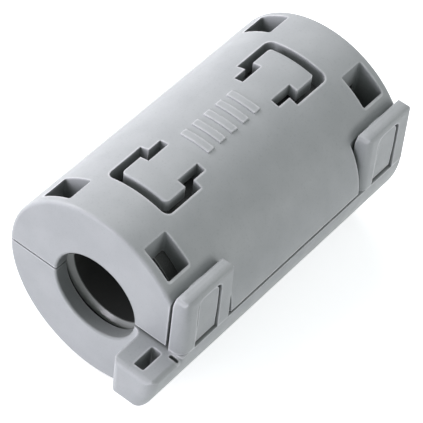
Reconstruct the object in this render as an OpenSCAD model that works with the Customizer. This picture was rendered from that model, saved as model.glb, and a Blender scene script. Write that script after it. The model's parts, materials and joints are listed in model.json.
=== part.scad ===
// Clip-on ferrite bead: a hinged two-part case that snaps two half-round
// ferrite cores around a cable. Millimetres, +Z up.
// The cable runs along Y through the origin, and the cores meet at z = 0.
// The latches are on the +X side, the hinge bands on the -X side and the
// cable-tie ear on the front end, towards -Y.

/* [Core] */
// Diameter of the hole that the cable runs through, in the core and in the end walls
cable_bore_d = 8.9; // [6:0.1:13]
// Thickness of the core round the cable
core_wall = 3.1; // [2:0.05:5]
// Length of the core
core_len = 27.6; // [24:0.1:40]
// Chamfer at both ends of the core's bore
core_chamfer = 0.55; // [0.2:0.05:0.8]
// Play between the core and the case, all round
core_gap = 0.1; // [0.05:0.05:0.2]
// Play between the core and each end wall, with the core in the middle
core_end_gap = 0.8; // [0.6:0.1:1.2]
// How far each core half has slid: the lower one to the front, the upper one to the rear
core_slide = 0.3; // [0:0.05:0.5]

/* [Case] */
// Thickness of the case round the core
case_wall = 2.2; // [1.8:0.1:3]
// Thickness of the case's end walls
end_wall = 1.4; // [1:0.1:2.4]
// Rounding of the outer rim of the hole in an end wall
end_hole_round = 0.2; // [0.1:0.05:0.4]
// Rounding of the outer rim at both ends
rim_round = 0.35; // [0.1:0.05:0.6]
// Gap between the two halves of the case when it is shut
parting_gap = 0.2; // [0.06:0.02:0.3]
// Height of the finger groove along the upper half's lower edge, between the latches
groove_h = 0.2; // [0.1:0.05:0.5]
// Depth of that groove
groove_in = 0.25; // [0.1:0.05:0.5]

/* [Spring tabs] */
// Width of a spring tab's head, across the case
tab_head_w = 5; // [4:0.1:6.5]
// Length of a spring tab's head, along the cable
tab_head_l = 2.55; // [1.5:0.05:3.5]
// Width of the stem that carries the head
tab_stem_w = 3.2; // [2:0.1:3.8]
// Length of the stem
tab_stem_l = 2.65; // [1.8:0.05:4]
// Distance from the case's end to the head
tab_setback = 5.65; // [5:0.05:7]
// Width of the gap round the tab
tab_gap = 0.9; // [0.5:0.05:1.2]
// Width of the gap behind the head's two shoulders
tab_shoulder_gap = 1.1; // [0.6:0.1:1.4]
// Rounding of the head's two front corners
tab_round = 0.5; // [0.1:0.1:0.8]
// Rounding of the head's front upper edge
tab_edge_round = 0.2; // [0.1:0.1:0.6]
// Thickness of the tab
tab_t = 1.3; // [0.8:0.1:1.6]
// Width of the nib under the head, across the case
nib_w = 2.4; // [1.6:0.1:3.6]
// Length of the nib, along the cable
nib_l = 1.2; // [0.8:0.1:1.4]

/* [Windows] */
// Width of a window in the case, across the case
window_w = 2.85; // [1.5:0.05:3.4]
// Length of a window, along the cable
window_l = 2.8; // [1.5:0.1:3.2]
// Distance from the case's end to a window
window_setback = 0.85; // [0.6:0.05:1.4]
// Rounding of a window's corners
window_round = 0.2; // [0.1:0.05:0.5]
// Angle from the middle of the case to a window
window_angle = 34; // [30:1:37]

/* [Latches] */
// Width of a latch arm, along the cable
latch_w = 6.5; // [5.5:0.1:8]
// Height of a latch arm above the parting plane
latch_h = 6.7; // [5.8:0.1:7.4]
// Gap between a latch arm and the flat behind it
latch_gap = 0.3; // [0.15:0.05:0.4]
// Gap between the front latch arm and the upper case beside it
front_side_gap = 0.15; // [0.1:0.05:0.4]
// Gap between the rear latch arm and the upper case beside it
rear_side_gap = 0.4; // [0.1:0.05:0.4]
// Wall that is left in the upper case behind a latch arm
latch_web = 0.35; // [0.25:0.05:0.6]
// Height of the bar over a latch arm's window
latch_bar_h = 0.8; // [0.6:0.1:1.2]
// Width of a latch arm's window
latch_window_w = 3.1; // [2:0.1:3.4]
// Distance from a latch arm's front edge to its window
latch_window_setback = 1.7; // [1.4:0.1:2.4]
// Rounding of the window's two top corners
latch_window_round = 0.7; // [0.1:0.1:0.8]
// Lean of a latch arm's outer face, inwards from its root, in degrees
latch_draft = 1; // [0:0.5:4]
// Rounding of a latch arm's front top corner
latch_front_round = 1.2; // [0.3:0.1:1.4]
// Rounding of a latch arm's rear top corner
latch_rear_round = 0.5; // [0.2:0.1:0.8]
// Rounding of a latch arm's front outer edge
latch_front_edge = 1; // [0.2:0.05:1.2]
// Rounding of a latch arm's rear outer edge
latch_rear_edge = 0.3; // [0.1:0.05:0.8]
// Rounding of a latch arm's outer top edge
latch_top_edge = 0.75; // [0.2:0.05:0.9]
// Bevel along a latch arm's inner top edge, which leads the hook in
latch_bevel = 0.3; // [0.1:0.05:0.5]

/* [Hooks] */
// Gap between a hook and the front side of the latch's window
hook_front_gap = 0.2; // [0.1:0.05:0.4]
// Gap between a hook and the rear side of the latch's window
hook_rear_gap = 0.25; // [0.1:0.05:0.4]
// Gap between a hook's top and the bar that catches it
hook_catch_gap = 0.08; // [0.05:0.01:0.2]
// How far a hook's face lies inside the latch's outer face
hook_inset = 0.1; // [0.02:0.02:0.3]
// How much further in the hook's face is at its foot
hook_ramp_in = 0.1; // [0.05:0.05:0.4]
// Height of the ramp from the hook's foot to its face
hook_ramp_h = 2.5; // [1.5:0.1:3.6]
// Height of the hook's lowest edge above the parting plane
hook_base_h = 0.05; // [0.05:0.05:0.5]
// Width of the bevel under the hook, which leads it over the latch's bar
hook_lead_w = 0.9; // [0.4:0.05:1]
// Height of that bevel
hook_lead_h = 0.2; // [0.1:0.05:0.5]
// Rounding of a hook's two top corners
hook_round = 0.8; // [0.1:0.05:1]

/* [Cable-tie ear] */
// Length of the ear, out from the case's front end
ear_l = 4; // [3.6:0.1:6]
// Width of the ear, in from the case's outer face
ear_w = 4.5; // [3.8:0.05:5]
// Height of the ear
ear_h = 4.2; // [3:0.1:5]
// Step from the lower half's parting face down to the ear's top and the end wall beside it
ear_drop = 0.16; // [0.04:0.02:0.3]
// Rounding of the ear's upright inner corner and lower inner edge
ear_round = 0.8; // [0.3:0.1:1]
// Rounding between the ear's front and its outer side
ear_corner_round = 1.1; // [0.3:0.1:1.3]
// Rounding of the ear's lower outer edge
ear_low_round = 0.7; // [0.3:0.1:1]
// Rounding of the ear's lower front edge
ear_low_front_round = 0.3; // [0.1:0.1:1]
// Rounding of the ear's upper front edge
ear_front_round = 0.6; // [0.2:0.1:0.8]
// Rounding of the ear's upper outer edge
ear_edge_round = 0.5; // [0.2:0.1:0.8]
// Fillet between the ear's inner side and the case's end
ear_fillet = 0.8; // [0.2:0.1:1]
// Width of the slot for a cable tie
tie_slot_w = 1.1; // [1:0.1:1.4]
// Length of the slot for a cable tie
tie_slot_l = 2.5; // [2.2:0.1:2.6]
// Distance from the case's outer face to the slot
tie_slot_in = 1.7; // [1.4:0.1:1.8]
// Distance from the case's front end to the slot
tie_slot_setback = 0.6; // [0.5:0.05:1]
// Rounding of the slot's corners
tie_slot_round = 0.2; // [0.1:0.05:0.4]
// Width of the groove that frees the front latch's root
relief_w = 0.4; // [0.2:0.05:0.5]
// Length of that groove, across the case
relief_l = 0.95; // [0.8:0.05:1.2]
// Distance from the case's outer face to that groove
relief_in = 0.15; // [0.1:0.05:0.4]
// Depth of that groove
relief_depth = 0.5; // [0.2:0.1:1]
// Distance from the case's front end to that groove
relief_setback = 0.15; // [0.1:0.05:0.4]

/* [Hinge] */
// Width of a hinge band, along the cable
band_w = 6; // [4:0.5:8]
// Thickness of a hinge band
band_t = 0.4; // [0.25:0.05:0.5]
// Inner radius of the loop that a closed band makes
band_loop_r = 0.45; // [0.35:0.05:0.7]
// Distance from the case's end to a hinge band
band_setback = 4; // [2:0.5:6]
// How far the pads that carry the bands stand out from the case
pad_out = 0.25; // [0.15:0.05:0.5]
// How far a pad runs past each edge of its band
pad_margin = 0.15; // [0.05:0.05:0.25]
// Height of a pad beyond its band
pad_extra_h = 0.35; // [0.2:0.05:0.8]

/* [Grip bars] */
// Number of plain raised bars on top of the case
bar_count = 5; // [3:1:7]
// Length of a bar, across the case
bar_l = 3.2; // [2:0.1:4]
// Width of a bar, along the cable
bar_w = 0.8; // [0.5:0.1:1]
// Distance from one bar to the next
bar_pitch = 1.6; // [1.3:0.1:1.6]
// Height of a bar
bar_h = 0.15; // [0.1:0.05:0.3]

/* [Hidden] */
$fn = 96;

// Case, from the cable outwards
bore_r = cable_bore_d / 2;
core_r = bore_r + core_wall;
cavity_r = core_r + core_gap;
case_r = cavity_r + case_wall;
cavity_len = core_len + 2 * core_end_gap;
case_len = cavity_len + 2 * end_wall;
case_end = case_len / 2;
parting_z = parting_gap / 2;

// Spring tabs and windows; a window's cut stays outside the cavity
tab_len = tab_head_l + tab_stem_l;
tab_front = case_end - tab_setback;
nib_gap = core_gap / 2;
window_x = case_r * sin(window_angle);
window_out_x = window_x + window_w / 2;
window_z = sqrt(cavity_r * cavity_r - window_out_x * window_out_x);

// Latches, from the upper case outwards
latch_flat_x = cavity_r + latch_web;
latch_in_x = latch_flat_x + latch_gap;
latch_t = case_r - latch_in_x;
latch_window_h = latch_h - latch_bar_h;
hook_w = latch_window_w - hook_front_gap - hook_rear_gap;
hook_root_x = latch_flat_x - latch_web / 2;
hook_foot_x = case_r - hook_inset - hook_ramp_in;
hook_foot_z = hook_base_h + hook_lead_h;
hook_ramp_z = hook_foot_z + hook_ramp_h;
hook_top = latch_window_h - hook_catch_gap;

// How far out a latch arm's leaning outer face is at height z
function latch_face_x(z) = case_r - (z + parting_z) * tan(latch_draft);

// Ear and hinge
ear_in_x = case_r - ear_w;
ear_root = end_wall / 2;
ear_top = -parting_z - ear_drop;
ear_bottom = ear_top - ear_h;
tie_slot_x = case_r - tie_slot_in - tie_slot_w;
pad_x = case_r + pad_out;
band_out_r = band_loop_r + band_t;

// How far a cut runs past a face that it crosses, and a side of a cube that
// holds the whole bead
over = 0.2;
big = 4 * (case_r + case_len);

case_color = [0.72, 0.73, 0.75];
core_color = [0.16, 0.16, 0.17];

// ---- helpers ----

// A round bar of length l along the cable, centred on the origin
module drum(r, l) {
    rotate([90, 0, 0])
        cylinder(r = r, h = l, center = true);
}

// Keeps what lies above height z
module above(z) {
    intersection() {
        children();
        translate([0, 0, z + big / 2])
            cube(big, center = true);
    }
}

// Turns an upper piece upside down, to make the same piece in the lower half
module flipped() {
    mirror([0, 0, 1])
        children();
}

// The same feature at the front end and, mirrored, at the rear end
module both_ends() {
    children();
    mirror([0, 1, 0])
        children();
}

// The same feature on the +X side and, mirrored, on the -X side
module both_sides() {
    children();
    mirror([1, 0, 0])
        children();
}

// What a square corner at the origin loses when it is rounded to radius r
module corner_loss(r) {
    difference() {
        translate([-over, -over])
            square(r + over);
        translate([r, r])
            circle(r);
    }
}

// A rectangle with a radius for each corner, anticlockwise from the origin
module round_rect(w, l, radii) {
    difference() {
        square([w, l]);
        corner_loss(radii[0]);
        translate([w, 0])
            rotate(90)
                corner_loss(radii[1]);
        translate([w, l])
            rotate(180)
                corner_loss(radii[2]);
        translate([0, l])
            rotate(270)
                corner_loss(radii[3]);
    }
}

// ---- case ----

// The case's outline from its axis to its wall and from its middle to its end
module case_outline() {
    square([case_r - rim_round, case_end]);
    square([case_r, case_end - rim_round]);
    translate([case_r - rim_round, case_end - rim_round])
        circle(rim_round);
}

// Turns an outline about the cable's axis, with its y side at the front end
module turned() {
    rotate([90, 0, 0])
        rotate_extrude()
            children();
}

module case_drum() {
    both_ends()
        turned()
            case_outline();
}

// What the outer rim of an end hole loses when it is rounded
module end_hole_loss() {
    turned()
        translate([bore_r, case_end])
            rotate(270)
                corner_loss(end_hole_round);
}

module at_tab() {
    translate([0, -tab_front, 0])
        children();
}

// A spring tab seen from above: a T with the head's edge at y = 0
module tab_shape() {
    translate([-tab_head_w / 2, 0])
        round_rect(tab_head_w, tab_head_l, [tab_round, tab_round, 0, 0]);
    translate([-tab_stem_w / 2, 0])
        square([tab_stem_w, tab_len + over]);
}

// The opening round a spring tab, which ends where the tab's stem does
module tab_opening() {
    head_w = tab_head_w + 2 * tab_gap;
    head_l = tab_gap + tab_head_l + tab_shoulder_gap;
    corner = tab_round + tab_gap / 4;
    translate([-head_w / 2, -tab_gap])
        round_rect(head_w, head_l, [corner, corner, 0, 0]);
    stem_w = tab_stem_w + 2 * tab_gap;
    translate([-stem_w / 2, 0])
        square([stem_w, tab_len]);
}

// The slot round a spring tab, and the hollow under the tab that thins it
module tab_cut() {
    at_tab()
        linear_extrude(case_r + over)
            difference() {
                tab_opening();
                tab_shape();
            }
    intersection() {
        at_tab()
            linear_extrude(case_r)
                tab_opening();
        drum(case_r - tab_t, case_len);
    }
    intersection() {
        at_tab()
            linear_extrude(case_r + over)
                tab_opening();
        turned()
            translate([case_r, tab_front])
                rotate(180)
                    corner_loss(tab_edge_round);
    }
}

// The nib under a spring tab's head, which steadies the core
module tab_nib() {
    difference() {
        at_tab()
            translate([-nib_w / 2, (tab_head_l - nib_l) / 2, 0])
                cube([nib_w, nib_l, case_r - tab_t / 2]);
        drum(core_r + nib_gap, case_len);
    }
}

// A window, which shows the core's end
module window_cut() {
    translate([window_x - window_w / 2, window_setback - case_end, window_z])
        linear_extrude(case_r)
            round_rect(window_w, window_l, [for (i = [0:3]) window_round]);
}

// One half of the case, as an upper half, without what is on its two sides
module half_case() {
    above(parting_z)
        difference() {
            case_drum();
            drum(cavity_r, cavity_len);
            drum(bore_r, case_len + over);
            both_ends()
                end_hole_loss();
            both_ends()
                tab_cut();
            both_ends()
                both_sides()
                    window_cut();
        }
    both_ends()
        tab_nib();
}

// A pad on the upper half, which a hinge band is moulded to
module hinge_pad() {
    translate([-pad_x, band_setback - case_end - pad_margin, band_loop_r - pad_margin])
        cube([pad_out + case_wall / 2, band_w + 2 * pad_margin, band_t + pad_margin + pad_extra_h]);
}

// What the upper half loses along its lower edge on the latch side
module edge_groove() {
    translate([case_r - groove_in, -case_end - over, parting_z - over])
        cube([groove_in + over, case_len + 2 * over, groove_h + over]);
}

// Plain raised bars on top, halfway along the case
module grip_bars() {
    bar_span = (bar_count - 1) * bar_pitch;
    intersection() {
        for (i = [0:bar_count - 1])
            translate([-bar_l / 2, i * bar_pitch - bar_span / 2 - bar_w / 2, case_r / 2])
                cube([bar_l, bar_w, case_r]);
        difference() {
            drum(case_r + bar_h, case_len);
            drum(case_r - bar_h, case_len);
        }
    }
}

module upper_case() {
    color(case_color) {
        difference() {
            half_case();
            latch_seat(front_side_gap);
            mirror([0, 1, 0])
                latch_seat(rear_side_gap);
            edge_groove();
        }
        at_front_latch()
            hook();
        at_rear_latch()
            hook();
        both_ends()
            hinge_pad();
        grip_bars();
    }
}

module lower_case() {
    color(case_color) {
        difference() {
            flipped() {
                half_case();
                both_ends()
                    hinge_pad();
            }
            ear_step_cut();
        }
        ear();
    }
}

// ---- latches ----

// The two latches are alike: the rear one is moved, and not mirrored
module at_front_latch() {
    translate([0, -case_end, 0])
        children();
}

module at_rear_latch() {
    translate([0, case_end - latch_w, 0])
        children();
}

// What the upper case loses behind the front latch arm and beside it
module latch_seat(side_gap) {
    translate([latch_flat_x, -case_end - over, -over])
        cube([case_wall + over, over + latch_w + side_gap, latch_h + 2 * over]);
}

// A hook seen from the end: a bevel and a ramp lead it over the latch arm's bar,
// and above them its face leans like the arm's outer face
module hook_end() {
    polygon([
        [hook_root_x, hook_base_h],
        [hook_foot_x - hook_lead_w, hook_base_h],
        [hook_foot_x, hook_foot_z],
        [latch_face_x(hook_ramp_z) - hook_inset, hook_ramp_z],
        [latch_face_x(hook_top) - hook_inset, hook_top],
        [hook_root_x, hook_top]
    ]);
}

module hook() {
    translate([0, latch_window_setback + hook_front_gap, 0])
        intersection() {
            translate([0, hook_w, 0])
                rotate([90, 0, 0])
                    linear_extrude(hook_w)
                        hook_end();
            rotate([90, 0, 90])
                linear_extrude(case_r)
                    round_rect(hook_w, hook_top, [0, 0, hook_round, hook_round]);
        }
}

// A latch arm seen from the side: two legs, and a bar over the hook
module latch_side() {
    translate([0, -parting_z])
        difference() {
            round_rect(latch_w, latch_h + parting_z, [0, 0, latch_rear_round, latch_front_round]);
            translate([latch_window_setback, -over])
                round_rect(latch_window_w, latch_window_h + parting_z + over,
                           [0, 0, latch_window_round, latch_window_round]);
        }
}

// A latch arm seen from above
module latch_plan() {
    translate([-case_wall, 0])
        round_rect(case_wall + latch_t, latch_w, [0, latch_front_edge, latch_rear_edge, 0]);
}

// A latch arm seen from the end, with its top square to its outer face
module latch_end() {
    translate([-case_wall, 0])
        round_rect(case_wall + latch_t, latch_h + parting_z, [0, 0, latch_top_edge, 0]);
}

// Leans a latch arm inwards about the foot of its outer face
module leaning() {
    translate([latch_t, 0, -parting_z])
        rotate([0, -latch_draft, 0])
            translate([-latch_t, 0, 0])
                children();
}

// What a latch arm loses along its inner top edge
module latch_bevel_cut() {
    translate([0, latch_w + over, latch_h])
        rotate([90, 0, 0])
            linear_extrude(latch_w + 2 * over)
                polygon([[-over, -latch_bevel - over], [latch_bevel + over, over], [-over, over]]);
}

module latch_arm() {
    color(case_color)
        translate([latch_in_x, 0, 0])
            difference() {
                intersection() {
                    rotate([90, 0, 90])
                        linear_extrude(latch_t)
                            latch_side();
                    leaning()
                        translate([0, latch_w, 0])
                            rotate([90, 0, 0])
                                linear_extrude(latch_w)
                                    latch_end();
                    leaning()
                        translate([0, 0, -over])
                            linear_extrude(latch_h + 2 * over)
                                latch_plan();
                }
                latch_bevel_cut();
            }
}

module front_latch_arm() {
    at_front_latch()
        latch_arm();
}

module rear_latch_arm() {
    at_rear_latch()
        latch_arm();
}

// ---- cable-tie ear ----

// What the ear's section loses where its underside meets its outer side
module ear_low_loss() {
    z = ear_bottom + ear_low_round;
    x = sqrt(pow(case_r - ear_low_round, 2) - z * z);
    reach = 2 * ear_low_round;
    translate([x, z])
        difference() {
            polygon([[0, 0], [0, -reach], [reach, -reach], reach / norm([x, z]) * [x, z]]);
            circle(ear_low_round);
        }
}

// The ear seen from the end
module ear_section() {
    difference() {
        translate([ear_in_x, ear_bottom])
            round_rect(ear_w, ear_h, [ear_round, 0, ear_edge_round, 0]);
        ear_low_loss();
    }
}

// The ear's outer side follows the case and rounds over to its front
module ear_drum() {
    turned()
        round_rect(case_r, case_end + ear_l, [0, 0, ear_corner_round, 0]);
}

// What the end wall between the hole and the front latch loses, to lie level with the ear
module ear_step_cut() {
    translate([0, -case_end - over, ear_top])
        cube([latch_in_x, over + end_wall, case_r]);
}

// The ear seen from the side
module ear_side() {
    translate([-case_end - ear_l, ear_bottom])
        round_rect(ear_l + ear_root, ear_h, [ear_low_front_round, 0, 0, ear_front_round]);
}

// The ear seen from above
module ear_plan() {
    translate([ear_in_x, -case_end - ear_l])
        round_rect(ear_w, ear_l + ear_root, [ear_round, 0, 0, 0]);
}

// The fillet between the ear and the case's end, seen from above
module ear_fillet_plan() {
    translate([ear_in_x - ear_fillet, -case_end - ear_fillet])
        difference() {
            square([ear_fillet + over, ear_fillet + ear_root]);
            circle(ear_fillet);
        }
}

module tie_slot() {
    translate([tie_slot_x, -case_end - tie_slot_setback - tie_slot_l, ear_bottom - over])
        linear_extrude(ear_h + 2 * over)
            round_rect(tie_slot_w, tie_slot_l, [for (i = [0:3]) tie_slot_round]);
}

// The groove that frees the front latch's root, with a round at each end
module ear_relief() {
    end_r = relief_w / 2;
    translate([case_r - relief_in - end_r, -case_end - relief_setback - end_r, ear_top - relief_depth])
        linear_extrude(relief_depth + over) {
            circle(end_r);
            translate([2 * end_r - relief_l, 0])
                circle(end_r);
            translate([2 * end_r - relief_l, -end_r])
                square([relief_l - 2 * end_r, relief_w]);
        }
}

module ear() {
    difference() {
        union() {
            intersection() {
                translate([0, ear_root - case_end, 0])
                    rotate([90, 0, 0])
                        linear_extrude(ear_root + ear_l)
                            ear_section();
                translate([0, 0, ear_bottom])
                    linear_extrude(ear_h)
                        ear_plan();
                rotate([90, 0, 90])
                    linear_extrude(case_r)
                        ear_side();
                ear_drum();
            }
            translate([0, 0, ear_bottom + ear_round])
                linear_extrude(ear_h - ear_round)
                    ear_fillet_plan();
        }
        drum(bore_r, case_len + 2 * ear_l);
        tie_slot();
        ear_relief();
    }
}

// ---- hinge bands ----

// With the case closed, a band loops out of the lower pad and back to the upper
module hinge_band() {
    color(case_color)
        translate([-pad_x, band_setback + band_w - case_end, 0])
            rotate([90, 0, 0])
                linear_extrude(band_w)
                    difference() {
                        circle(band_out_r);
                        circle(band_loop_r);
                        translate([0, -band_out_r - over])
                            square(2 * (band_out_r + over));
                    }
}

module front_hinge_band() {
    hinge_band();
}

module rear_hinge_band() {
    mirror([0, 1, 0])
        hinge_band();
}

// ---- cores ----

// The chamfer at the front end of the core's bore
module core_chamfer_cut() {
    translate([0, -core_len / 2, 0])
        rotate([90, 0, 0])
            translate([0, 0, -core_chamfer])
                cylinder(r1 = bore_r, r2 = bore_r + core_chamfer + over, h = core_chamfer + over);
}

// One half of the core, as the upper half
module half_core() {
    above(0)
        difference() {
            drum(core_r, core_len);
            drum(bore_r, core_len + over);
            both_ends()
                core_chamfer_cut();
        }
}

module upper_core() {
    color(core_color)
        translate([0, core_slide, 0])
            half_core();
}

module lower_core() {
    color(core_color)
        translate([0, -core_slide, 0])
            flipped()
                half_core();
}

lower_case();
upper_case();
lower_core();
upper_core();
front_latch_arm();
rear_latch_arm();
front_hinge_band();
rear_hinge_band();
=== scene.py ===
"""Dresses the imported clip-on ferrite bead: moulded plastic, sintered ferrite, studio light."""
import json
import math

import bmesh
import bpy
from mathutils import Matrix, Vector

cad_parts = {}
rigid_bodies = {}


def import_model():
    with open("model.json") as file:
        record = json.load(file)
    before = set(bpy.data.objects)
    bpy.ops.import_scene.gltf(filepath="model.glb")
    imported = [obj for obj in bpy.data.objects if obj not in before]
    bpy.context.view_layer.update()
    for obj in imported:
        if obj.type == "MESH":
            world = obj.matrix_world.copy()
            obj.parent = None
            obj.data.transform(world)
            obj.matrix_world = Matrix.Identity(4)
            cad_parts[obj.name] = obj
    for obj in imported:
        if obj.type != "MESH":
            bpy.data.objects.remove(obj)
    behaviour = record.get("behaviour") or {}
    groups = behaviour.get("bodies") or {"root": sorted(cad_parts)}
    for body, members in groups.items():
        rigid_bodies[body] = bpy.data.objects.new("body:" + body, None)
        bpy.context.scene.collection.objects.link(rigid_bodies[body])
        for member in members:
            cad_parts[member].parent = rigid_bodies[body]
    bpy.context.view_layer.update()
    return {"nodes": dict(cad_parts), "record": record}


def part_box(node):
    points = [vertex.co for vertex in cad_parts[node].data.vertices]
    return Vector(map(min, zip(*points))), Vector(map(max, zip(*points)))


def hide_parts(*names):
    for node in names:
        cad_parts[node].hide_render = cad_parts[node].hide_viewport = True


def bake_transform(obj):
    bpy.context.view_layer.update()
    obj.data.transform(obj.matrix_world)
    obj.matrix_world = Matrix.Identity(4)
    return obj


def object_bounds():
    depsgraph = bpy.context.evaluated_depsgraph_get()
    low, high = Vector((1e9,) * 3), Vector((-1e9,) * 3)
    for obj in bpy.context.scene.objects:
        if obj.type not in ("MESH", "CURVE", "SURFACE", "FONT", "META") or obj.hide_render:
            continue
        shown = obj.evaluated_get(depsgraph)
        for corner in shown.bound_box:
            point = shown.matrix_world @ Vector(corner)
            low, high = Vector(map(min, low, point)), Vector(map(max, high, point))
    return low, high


for leftover in list(bpy.data.objects):
    bpy.data.objects.remove(leftover)
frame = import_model()
MM = 0.001

# ---- camera: the photograph's viewing angle ----
AZIMUTH = 33.43
ELEVATION = 48.76
ROLL = 7.47
DISTANCE = 211.2 * MM
LENS_MM = 204.95
AIM = Vector((2.917, -3.952, 3.423)) * MM


def link(name, data):
    made = bpy.data.objects.new(name, data)
    bpy.context.scene.collection.objects.link(made)
    return made


def build_camera():
    azimuth, elevation, roll = (math.radians(a) for a in (AZIMUTH, ELEVATION, ROLL))
    back = Vector((math.sin(azimuth) * math.cos(elevation),
                   -math.cos(azimuth) * math.cos(elevation),
                   math.sin(elevation)))
    level = (-back).cross(Vector((0, 0, 1))).normalized()
    upright = level.cross(-back)
    right = math.cos(roll) * level + math.sin(roll) * upright
    up = -math.sin(roll) * level + math.cos(roll) * upright
    data = bpy.data.cameras.new("camera")
    data.sensor_width = 36
    data.lens = LENS_MM
    data.clip_start = 0.01
    data.clip_end = 10
    camera = link("camera", data)
    turn = Matrix((right, up, back)).transposed().to_4x4()
    camera.matrix_world = Matrix.Translation(AIM + back * DISTANCE) @ turn
    bpy.context.scene.camera = camera


build_camera()


# ---- materials ----
BORE_RADIUS = frame["record"]["mounts"][0]["dims"]["r_mm"] * MM
CHAMFER_REACH = 0.56 * MM  # how far out from the bore a core's chamfers go, and a hair more
EDGE_HIGHLIGHT_REACH = 0.25 * MM  # how near an outer edge the plastic is painted paler, as a highlight
SLOT_SHADE_REACH = 1.0 * MM  # how near walls lie where painted shade darkens slots and gaps
RECESS_REACH = 7.0 * MM  # how near walls lie where painted shade darkens a recess


class Nodes:
    """Adds nodes to one tree in short form; a tuple or number sets an input, a socket links to it."""

    def __init__(self, tree):
        self.tree = tree

    def add(self, kind, inputs=None, **settings):
        node = self.tree.nodes.new("ShaderNode" + kind)
        for key, value in settings.items():
            setattr(node, key, value)
        for key, value in (inputs or {}).items():
            if isinstance(value, bpy.types.NodeSocket):
                self.tree.links.new(value, node.inputs[key])
            else:
                node.inputs[key].default_value = value
        return node

    def place(self, scale):
        """Object coordinates in millimetres, times scale."""
        coords = self.add("TexCoord").outputs["Object"]
        return self.add("Mapping", {"Vector": coords, "Scale": (scale / MM,) * 3}).outputs[0]

    def noise(self, per_mm, detail=2.0, roughness=0.5):
        return self.add("TexNoise", {"Vector": self.place(per_mm), "Scale": 1.0,
                                     "Detail": detail, "Roughness": roughness}).outputs[0]

    def ramp(self, value, low, high, to_low, to_high):
        return self.add("MapRange", {"Value": value, "From Min": low, "From Max": high,
                                     "To Min": to_low, "To Max": to_high}).outputs[0]

    def math(self, how, a, b):
        return self.add("Math", {0: a, 1: b}, operation=how).outputs[0]

    def mix(self, factor, a, b):
        return self.add("Mix", {0: factor, 6: a, 7: b}, data_type="RGBA").outputs[2]

    def convex_edges(self, reach):
        """1 along outer edges and corners, 0 elsewhere."""
        inside = self.add("AmbientOcclusion", {"Distance": reach}, samples=8, inside=True,
                          only_local=True).outputs["AO"]
        return self.ramp(inside, 0.93, 0.62, 0.0, 1.0)

    def hollows(self, reach, least, most):
        """1 deep in slots and gaps, 0 on open faces, as the share of sky within reach falls."""
        open_sky = self.add("AmbientOcclusion", {"Distance": reach}, samples=8).outputs["AO"]
        return self.ramp(open_sky, least, most, 0.0, 1.0)

    def near_bore(self, radius, fade):
        """1 on walls that lie within radius of the bore's axis, 0 beyond it."""
        coords = self.add("TexCoord").outputs["Object"]
        across = self.add("VectorMath", {0: coords, 1: (1, 0, 1)}, operation="MULTIPLY").outputs[0]
        distance = self.add("VectorMath", {0: across}, operation="LENGTH").outputs["Value"]
        return self.ramp(distance, radius, radius + fade, 1.0, 0.0)


def new_material(name):
    made = bpy.data.materials.new(name)
    made.use_nodes = True
    return made, Nodes(made.node_tree), made.node_tree.nodes["Principled BSDF"]


def link_input(nodes, shader, name, socket):
    nodes.tree.links.new(socket, shader.inputs[name])


def moulded_plastic():
    """Light grey polyamide with the fine grain of a spark-eroded mould, painted highlights along
    outer edges and painted shade in slots, recesses and the end hole.
    """
    made, n, shader = new_material("case_plastic")
    body = (0.398, 0.417, 0.426, 1)
    paler = (0.428, 0.447, 0.456, 1)
    edge_highlight = (0.72, 0.73, 0.75, 1)
    # Dark colour, used both for specks of dirt and for painted shade.
    grime_and_shade = (0.10, 0.115, 0.105, 1)
    deep_shade = (0.09, 0.105, 0.095, 1)
    clouds = n.ramp(n.noise(0.35, 3), 0.35, 0.65, 0.0, 1.0)
    colour = n.mix(clouds, body, paler)
    specks = n.ramp(n.noise(5.0, 2), 0.30, 0.42, 0.10, 0.0)
    colour = n.mix(specks, colour, grime_and_shade)
    # Painted highlight: outer edges painted paler, in patches.
    highlight_patchiness = n.ramp(n.noise(1.2, 2), 0.3, 0.7, 0.5, 0.9)
    painted_edge_highlight = n.math("MULTIPLY", n.convex_edges(EDGE_HIGHLIGHT_REACH), highlight_patchiness)
    colour = n.mix(painted_edge_highlight, colour, edge_highlight)
    # Painted shade: slots and gaps darkened near their walls.
    painted_slot_shade = n.math("MULTIPLY", n.hollows(SLOT_SHADE_REACH, 0.50, 0.15), 0.38)
    colour = n.mix(painted_slot_shade, colour, grime_and_shade)
    # Painted shade deep in recesses and windows.
    shade = n.math("MULTIPLY", n.hollows(RECESS_REACH, 0.48, 0.15), 0.5)
    colour = n.mix(shade, colour, deep_shade)
    # Painted shade on the walls of the end hole.
    painted_hole_shade = n.math("MULTIPLY", n.near_bore(BORE_RADIUS + 0.08 * MM, 0.2 * MM), 0.42)
    colour = n.mix(painted_hole_shade, colour, grime_and_shade)
    link_input(n, shader, "Base Color", colour)
    link_input(n, shader, "Roughness", n.ramp(n.noise(0.8, 3), 0.3, 0.7, 0.40, 0.52))
    rounded = n.add("Bevel", {"Radius": 0.13 * MM}, samples=6).outputs[0]
    grain = n.add("Bump", {"Strength": 0.35, "Distance": 0.02 * MM, "Height": n.noise(7.0, 3, 0.6),
                           "Normal": rounded}).outputs[0]
    waves = n.add("Bump", {"Strength": 0.25, "Distance": 0.05 * MM, "Height": n.noise(0.22, 1),
                           "Normal": grain}).outputs[0]
    link_input(n, shader, "Normal", waves)
    return made


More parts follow.
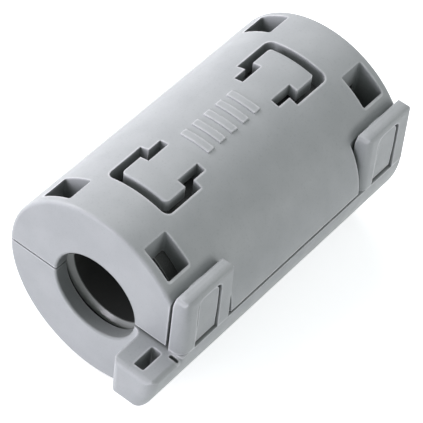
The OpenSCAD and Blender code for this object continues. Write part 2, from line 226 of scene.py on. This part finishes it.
def sintered_ferrite():
    """Dark grey ferrite with fine pits: darker in the bore (pressed surface and painted shade), pale
    and shinier on its chamfers (ground surface and a painted glint), with painted highlights along
    outer edges.
    """
    made, n, shader = new_material("ferrite")
    body = (0.072, 0.076, 0.074, 1)
    paler = (0.128, 0.134, 0.130, 1)
    pressed_and_shade = (0.040, 0.042, 0.040, 1)
    edge_highlight = (0.38, 0.40, 0.39, 1)
    grains = n.ramp(n.noise(9.0, 4, 0.7), 0.35, 0.7, 0.0, 1.0)
    colour = n.mix(grains, body, paler)
    in_bore = n.near_bore(BORE_RADIUS + 0.02 * MM, 0.03 * MM)
    within_chamfer = n.near_bore(BORE_RADIUS + CHAMFER_REACH, 0.05 * MM)
    on_chamfer = n.math("SUBTRACT", within_chamfer, in_bore)
    # Chamfers painted pale: partly the ground surface, partly a painted glint.
    colour = n.mix(n.math("MULTIPLY", on_chamfer, 0.8), colour, edge_highlight)
    # Bore darker: partly the pressed surface, partly painted shade.
    colour = n.mix(in_bore, colour, pressed_and_shade)
    # Painted highlight along outer edges.
    colour = n.mix(n.convex_edges(0.12 * MM), colour, edge_highlight)
    link_input(n, shader, "Base Color", colour)
    matt = n.ramp(n.noise(3.0, 3), 0.3, 0.7, 0.50, 0.62)
    polish = n.math("MULTIPLY", on_chamfer, 0.38)
    link_input(n, shader, "Roughness", n.math("SUBTRACT", matt, polish))
    rounded = n.add("Bevel", {"Radius": 0.08 * MM}, samples=4).outputs[0]
    pits = n.add("Bump", {"Strength": 0.3, "Distance": 0.01 * MM, "Height": n.noise(12.0, 3, 0.6),
                          "Normal": rounded}).outputs[0]
    link_input(n, shader, "Normal", pits)
    return made


PLASTIC = moulded_plastic()
FERRITE = sintered_ferrite()
for name, node in frame["nodes"].items():
    node.data.materials.clear()
    node.data.materials.append(FERRITE if "core" in name else PLASTIC)


# ---- pieces that bend: the latch arms and the hinge bands ----
def sliced_copy(name, node_name, heights):
    """A copy of a node's mesh with extra loops at the given heights, so that it can bend."""
    bm = bmesh.new()
    bm.from_mesh(frame["nodes"][node_name].data)
    bmesh.ops.remove_doubles(bm, verts=bm.verts, dist=1e-7)
    for height in heights:
        bmesh.ops.bisect_plane(bm, geom=bm.verts[:] + bm.edges[:] + bm.faces[:], dist=1e-8,
                               plane_co=(0, 0, height), plane_no=(0, 0, 1))
    bmesh.ops.triangulate(bm, faces=bm.faces)
    mesh = bpy.data.meshes.new(name)
    bm.to_mesh(mesh)
    bm.free()
    mesh.polygons.foreach_set("use_smooth", [True] * len(mesh.polygons))
    mesh.set_sharp_from_angle(angle=math.radians(25))
    mesh.materials.clear()
    mesh.materials.append(PLASTIC)
    return link(name, mesh)


def levels(low, span, count):
    """The heights that end each of the count equal steps in which a span above low is divided."""
    return [low + span * i / count for i in range(1, count + 1)]


ARM_BEND = 3.0 * MM  # the stretch above its root in which a latch arm bends
ARM_STEPS = 15
BAND_STEPS = 24
for end in ("front", "rear"):
    low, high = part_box(end + "_latch_arm")
    arm = sliced_copy(end + "_latch_bend", end + "_latch_arm", levels(low.z, ARM_BEND, ARM_STEPS))
    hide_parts(end + "_latch_arm")
    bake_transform(arm)

    low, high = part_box(end + "_hinge_band")
    inner_levels = levels(low.z, high.z - low.z, BAND_STEPS)[:-1]
    band = sliced_copy(end + "_hinge_bend", end + "_hinge_band", inner_levels)
    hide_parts(end + "_hinge_band")
    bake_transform(band)


# ---- floor, world and lamps ----
def seen(nodes):
    """1 for rays that show the backdrop itself: from the camera, in gloss and through glass."""
    path = nodes.add("LightPath").outputs
    seen_directly = nodes.math("MAXIMUM", path["Is Camera Ray"], path["Is Glossy Ray"])
    return nodes.math("MAXIMUM", seen_directly, path["Is Transmission Ray"])


FLOOR_HALF = 2.0
FLOOR_SHADE = (0.80, 0.81, 0.82, 1)
FLOOR_GLOW = 0.73
GLOW_TINT = (0.985, 0.995, 1, 1)
SKY_TINT = (0.95, 1, 0.985, 1)
SKY_STRENGTH = 0.315
WHITE = (1, 1, 1, 1)


def build_floor():
    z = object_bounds()[0].z
    s = FLOOR_HALF
    mesh = bpy.data.meshes.new("floor")
    mesh.from_pydata([(-s, -s, z), (s, -s, z), (s, s, z), (-s, s, z)], [], [(0, 1, 2, 3)])
    floor = link("floor", mesh)
    made = bpy.data.materials.new("floor")
    made.use_nodes = True
    n = Nodes(made.node_tree)
    made.node_tree.nodes.remove(made.node_tree.nodes["Principled BSDF"])
    matt = n.add("BsdfDiffuse", {"Color": FLOOR_SHADE}).outputs[0]
    glow = n.add("Emission", {"Color": GLOW_TINT, "Strength": FLOOR_GLOW}).outputs[0]
    bright = n.add("AddShader", {0: matt, 1: glow}).outputs[0]
    shown = n.add("MixShader", {0: seen(n), 1: matt, 2: bright}).outputs[0]
    n.tree.links.new(shown, n.tree.nodes["Material Output"].inputs["Surface"])
    mesh.materials.append(made)


def build_world():
    world = bpy.data.worlds.new("world")
    bpy.context.scene.world = world
    world.use_nodes = True
    n = Nodes(world.node_tree)
    world.node_tree.nodes.remove(world.node_tree.nodes["Background"])
    soft = n.add("Background", {"Color": SKY_TINT, "Strength": SKY_STRENGTH}).outputs[0]
    white = n.add("Background", {"Color": WHITE, "Strength": 1.0}).outputs[0]
    shown = n.add("MixShader", {0: seen(n), 1: soft, 2: white}).outputs[0]
    n.tree.links.new(shown, n.tree.nodes["World Output"].inputs["Surface"])


LAMP_AIM = Vector((0, -2, 2)) * MM
LAMP_DISTANCE = 0.40
LAMP_SIZE = 0.25
LILAC = (0.95, 0.91, 1.0)
PALE_LILAC = (0.98, 0.95, 1.0)


def lamp(name, azimuth, elevation, power, colour=(1, 1, 1)):
    """A round soft lamp. Azimuth 0 is in front, towards -Y, and 90 is on the +X side."""
    a, e = math.radians(azimuth), math.radians(elevation)
    away = Vector((math.sin(a) * math.cos(e), -math.cos(a) * math.cos(e), math.sin(e)))
    data = bpy.data.lights.new(name, "AREA")
    data.shape = "DISK"
    data.size = LAMP_SIZE
    data.energy = power
    data.color = colour
    made = link(name, data)
    made.location = LAMP_AIM + away * LAMP_DISTANCE
    made.rotation_mode = "QUATERNION"
    made.rotation_quaternion = away.to_track_quat("Z", "Y")


build_floor()
build_world()
lamp("left", -90, 30, 1.10, PALE_LILAC)
lamp("behind_left", -130, 55, 0.38)
lamp("front", -20, 15, 0.97, LILAC)
lamp("right", 115, 5, 0.38)

bpy.context.scene.view_settings.view_transform = "Standard"
